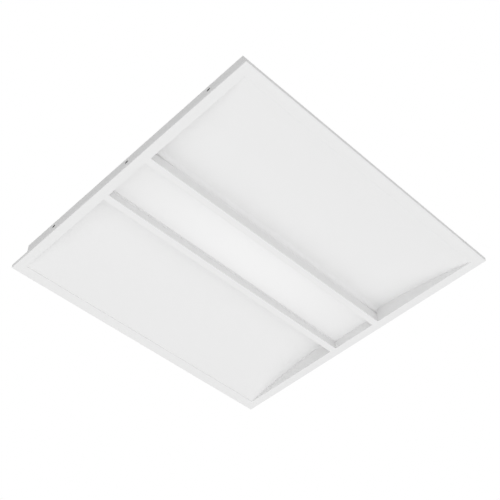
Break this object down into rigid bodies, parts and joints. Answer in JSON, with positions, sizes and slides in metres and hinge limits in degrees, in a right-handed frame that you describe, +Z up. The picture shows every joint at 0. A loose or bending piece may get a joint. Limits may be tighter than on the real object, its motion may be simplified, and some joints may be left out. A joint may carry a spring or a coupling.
{
  "type": "recessed troffer light",
  "caption": "Square recessed ceiling troffer with two curved white wings, a raised flat opal lens strip between rails, a flat rim and a gear box on its back.",
  "frame": {"origin": "middle of the rim's flat underside, which rests on the ceiling grid", "axes": "+Z up into the ceiling void, +X along the lens strip towards the cable entry, +Y across the wings"},
  "size_m": [0.595, 0.595, 0.0888],
  "materials": {
    "white_coat": "satin white powder coat",
    "reflector_coat": "matt white reflector paint",
    "opal": "opal diffuser, smooth",
    "zinc": "zinc-coated steel",
    "brass": "plain brass",
    "board": "white solder mask",
    "phosphor": "phosphor in white packages",
    "white_plastic": "moulded plastic",
    "grey_plastic": "moulded plastic",
    "dark_plastic": "moulded plastic",
    "rubber": "black rubber",
    "lead_white": "insulation",
    "lead_grey": "insulation",
    "lead_green": "insulation"
  },
  "bodies": {
    "housing": {"face_frame": "white_coat", "housing_pan": "white_coat", "end_cap_front": "white_coat", "end_cap_rear": "white_coat", "end_cheek_front": "white_coat", "end_cheek_rear": "white_coat", "lens_rail_left": "white_coat", "lens_rail_right": "white_coat", "gear_box": "white_coat", "wing_reflector_left": "reflector_coat", "wing_reflector_right": "reflector_coat", "led_tray": "zinc", "suspension_straps": "zinc", "driver_base": "zinc", "cable_clamp": "zinc", "cover_hinge_pins": "zinc", "lever_pin": "zinc", "end_cap_screws": "zinc", "tray_screws": "zinc", "board_screws": "zinc", "gear_box_screws": "zinc", "gear_box_rivets": "zinc", "earth_stud": "zinc", "earth_nut": "brass", "earth_tag": "brass", "led_board_front": "board", "led_board_rear": "board", "led_chips": "phosphor", "board_connectors": "white_plastic", "driver_case": "white_plastic", "driver_terminals": "white_plastic", "clamp_saddle": "white_plastic", "terminal_block": "grey_plastic", "lead_grommet": "rubber", "entry_grommet": "rubber", "led_lead": "lead_white", "board_link": "lead_white", "mains_lead": "lead_grey", "earth_lead": "lead_green"},
    "lens": {"opal_lens": "opal"},
    "cover": {"gear_box_cover": "white_coat"},
    "lock": {"cover_lock": "grey_plastic"},
    "lever_1": {"terminal_lever_1": "dark_plastic"},
    "lever_2": {"terminal_lever_2": "dark_plastic"},
    "lever_3": {"terminal_lever_3": "dark_plastic"}
  },
  "joints": [
    {"name": "lens_lift", "type": "slide", "parent": "housing", "child": "lens", "axis": [0, 0, 1], "range_m": [0, 0.018]},
    {"name": "cover_hinge", "type": "hinge", "parent": "housing", "child": "cover", "pos_m": [0, 0.0635, 0.082], "axis": [-1, 0, 0], "range_deg": [0, 105]},
    {"name": "lock_turn", "type": "hinge", "parent": "cover", "child": "lock", "pos_m": [0, -0.052, 0.0868], "axis": [0, 0, -1], "range_deg": [0, 90]},
    {"name": "lever_1_lift", "type": "hinge", "parent": "housing", "child": "lever_1", "pos_m": [0.145, 0.0235, 0.066], "axis": [0, 1, 0], "range_deg": [0, 85]},
    {"name": "lever_2_lift", "type": "hinge", "parent": "housing", "child": "lever_2", "pos_m": [0.145, 0.03, 0.066], "axis": [0, 1, 0], "range_deg": [0, 85]},
    {"name": "lever_3_lift", "type": "hinge", "parent": "housing", "child": "lever_3", "pos_m": [0.145, 0.0365, 0.066], "axis": [0, 1, 0], "range_deg": [0, 85]}
  ]
}
